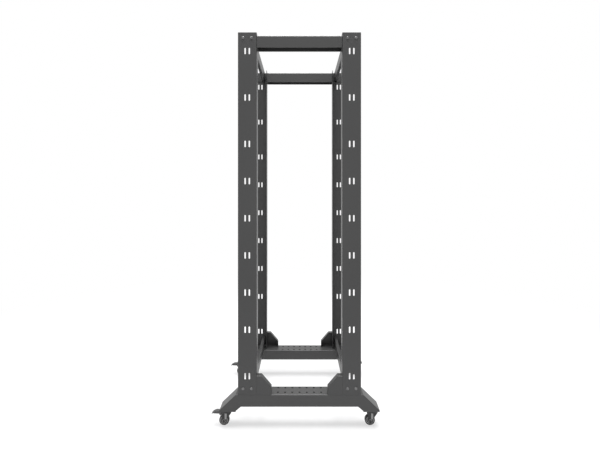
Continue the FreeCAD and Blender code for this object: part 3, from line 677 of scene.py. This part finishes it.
# ---------------------------------------------------------------- beams
# A folded beam, open underneath, joins the two posts of each side near their tops.
# Four channels on edge join the two sides, a pair at the top and a pair at the
# bottom, with a plate welded across each end.
channel_fold = 0.1                # only a channel's long folds are rounded
for side in SIDES:
    spray(f"top_side_beam_{side}")
for level in ("top", "bottom"):
    for end in ENDS:
        spray(f"{level}_cross_beam_{end}", channel_fold)


# ---------------------------------------------------------------- weld beads
# Fillet welds run along the inside of each gusset, up its post and over its
# base, and along the foot of each post's web. They were laid before spraying,
# so the same powder coat covers them.
sheet = 0.002
bead_r = 0.0023
bead_off = 0.0005                 # a bead's middle, off the faces that it joins


def bead_tree(name):
    """A node group that lays a round bead with closed ends along every edge of a mesh."""
    tree, given = node_group(name, (("Bead Radius", "Float"), ("Finish", "Material")))
    runs = add_node(tree, "GeometryNodeMeshToCurve", None, {"Mesh": given["Geometry"]})
    section = add_node(tree, "GeometryNodeCurvePrimitiveCircle", {"Resolution": 10},
                       {"Radius": given["Bead Radius"]})
    beads = add_node(tree, "GeometryNodeCurveToMesh", {"Fill Caps": True},
                     {"Curve": runs.outputs["Curve"], "Profile Curve": section.outputs["Curve"]})
    real = add_node(tree, "GeometryNodeRealizeInstances", None, {"Geometry": beads.outputs["Mesh"]})
    done = add_node(tree, "GeometryNodeSetMaterial", None,
                    {"Geometry": real.outputs["Geometry"], "Material": given["Finish"]})
    add_node(tree, "NodeGroupOutput", None, {"Geometry": done.outputs["Geometry"]})
    return tree


def away_from_middle(low, high, axis):
    """How far from the rack's middle a box starts and ends along an axis."""
    return sorted((abs(low[axis]), abs(high[axis])))


bead_ends = []
for corner in corners:
    end, side = (1 if "rear" in corner else -1), (1 if "left" in corner else -1)
    gusset_low, gusset_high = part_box(f"gusset_{corner}")
    post_low, post_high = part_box(f"post_{corner}")
    free_side, post_side = away_from_middle(gusset_low, gusset_high, 0)
    web_near, web_far = away_from_middle(post_low, post_high, 0)
    inside_y = side * (away_from_middle(post_low, post_high, 1)[1] - sheet - bead_off)
    base_top, gusset_top = post_low[2], gusset_high[2]
    post_x = end * (post_side - bead_off)
    bead_ends += [(post_x, inside_y, base_top), (post_x, inside_y, gusset_top - sheet)]
    bead_ends += [(x, inside_y, base_top + bead_off) for x in
                  (post_x, end * (free_side + sheet),
                   end * (web_near + 2 * sheet), end * (web_far - 2 * sheet))]
bead_lines = bpy.data.meshes.new("weld_beads")
bead_lines.from_pydata(bead_ends, [(i, i + 1) for i in range(0, len(bead_ends), 2)], [])
beads = grow(bead_lines, bead_tree("weld_beads"), {"Bead Radius": bead_r, "Finish": powder_coat})
add_piece("weld_beads", beads, powder_coat, "rack", "black_powder_coat")


# ---------------------------------------------------------------- frame screws
# Two button-head screws on washers hold each end of a cross beam through the
# web of its post, sixteen in all. They are zinc plated and passivated black, so
# they show a little lighter than the coat round them.
head_r, head_tall, head_steps = 0.0058, 0.0034, 24
socket_r, socket_deep = 0.0021, 0.0016
under_head_r, under_head_thick = 0.0070, 0.0012   # of the washer
screws_apart = 0.040
screw_up, screw_down = 0.030, 0.026   # above the bottom beam's underside, below the post's top
sharp_crown = 35                      # degrees: what turns more than this keeps a sharp edge


def screw_tree(name):
    """A node group that sets a washer and a domed head with its hexagon socket on each point,
    facing away from the middle of the rack along Y."""
    tree, given = node_group(name, (("Washer Radius", "Float"), ("Washer Thickness", "Float"),
                                    ("Head", "Object"), ("Finish", "Material")))
    washer = add_node(tree, "GeometryNodeMeshCylinder", {"Vertices": 32},
                      {"Radius": given["Washer Radius"], "Depth": given["Washer Thickness"]})
    head = add_node(tree, "GeometryNodeObjectInfo", {"As Instance": False}, {"Object": given["Head"]})
    screw = add_node(tree, "GeometryNodeJoinGeometry")
    for source in (washer.outputs["Mesh"], head.outputs["Geometry"]):
        tree.links.new(source, screw.inputs["Geometry"])
    place = add_node(tree, "GeometryNodeInputPosition")
    parts = add_node(tree, "ShaderNodeSeparateXYZ", None, {"Vector": place.outputs["Position"]})
    side = add_node(tree, "ShaderNodeMath", None, {0: parts.outputs["Y"]}, operation="SIGN")
    lean = add_node(tree, "ShaderNodeMath", {1: math.radians(-90)}, {0: side.outputs[0]},
                    operation="MULTIPLY")
    turn = add_node(tree, "ShaderNodeCombineXYZ", None, {"X": lean.outputs[0]})
    as_turn = add_node(tree, "FunctionNodeEulerToRotation", None, {"Euler": turn.outputs["Vector"]})
    spots = add_node(tree, "GeometryNodeMeshToPoints", None, {"Mesh": given["Geometry"]})
    set_out = add_node(tree, "GeometryNodeInstanceOnPoints", None,
                       {"Points": spots.outputs["Points"], "Instance": screw.outputs["Geometry"],
                        "Rotation": as_turn.outputs["Rotation"]})
    real = add_node(tree, "GeometryNodeRealizeInstances", None,
                    {"Geometry": set_out.outputs["Instances"]})
    done = add_node(tree, "GeometryNodeSetMaterial", None,
                    {"Geometry": real.outputs["Geometry"], "Material": given["Finish"]})
    add_node(tree, "NodeGroupOutput", None, {"Geometry": done.outputs["Geometry"]})
    return tree


def button_head(name, base):
    """A domed head standing on z = base, with a hexagon socket in its crown."""
    shape = bmesh.new()
    angles = [math.tau * i / head_steps for i in range(head_steps)]
    shelf_r = socket_r * 1.2          # rim of the dome round the socket
    profile = [(head_r * 0.96, base), (head_r, base + head_tall * 0.12)]
    profile += [(shelf_r + (head_r - shelf_r) * math.cos(math.radians(a)),
                 base + head_tall * (0.12 + 0.88 * math.sin(math.radians(a)))) for a in (25, 50, 75, 90)]
    rings = [[shape.verts.new((reach * math.cos(angle), reach * math.sin(angle), z))
              for angle in angles] for reach, z in profile]
    for drop in (0.0, socket_deep):
        ring = []
        for angle in angles:
            off = (angle % math.radians(60)) - math.radians(30)
            reach = socket_r * math.cos(math.radians(30)) / math.cos(off)
            ring.append(shape.verts.new((reach * math.cos(angle), reach * math.sin(angle),
                                         base + head_tall - drop)))
        rings.append(ring)
    for ring, after in zip(rings, rings[1:]):
        for i in range(head_steps):
            j = (i + 1) % head_steps
            shape.faces.new((ring[i], ring[j], after[j], after[i]))
    shape.faces.new(rings[-1])
    shape.faces.new(reversed(rings[0]))
    make_smooth(face for face in shape.faces if len(face.verts) == 4)
    return to_mesh(name, shape, sharp_crown)


# Black passivate over zinc is a smoky grey that keeps a glint of the metal. Its fine
# grain is drawn coarser than it is.
screw_zinc = enamel("black_passivated_zinc", "#6A6A6A", 0.34, 1.667, 0.00005, metallic=0.35)

post_low, post_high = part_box("post_front_right")
post_x = abs(post_low[0] + post_high[0]) / 2
washer_y = -post_low[1] + under_head_thick / 2
levels = (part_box("bottom_cross_beam_front")[0][2] + screw_up, post_high[2] - screw_down)
head = bpy.data.objects.new("screw_head", button_head("screw_head", under_head_thick / 2))
scene.collection.objects.link(head)
spots = bpy.data.meshes.new("frame_screws")
spots.from_pydata([(end * (post_x + hand * screws_apart / 2), side * washer_y, level)
                   for end in (-1, 1) for side in (-1, 1) for level in levels for hand in (-1, 1)],
                  [], [])
screws = grow(spots, screw_tree("frame_screws"), {
    "Washer Radius": under_head_r, "Washer Thickness": under_head_thick, "Head": head,
    "Finish": screw_zinc})
bpy.data.objects.remove(head)
add_piece("frame_screws", screws, screw_zinc, "rack", "caster_steel")
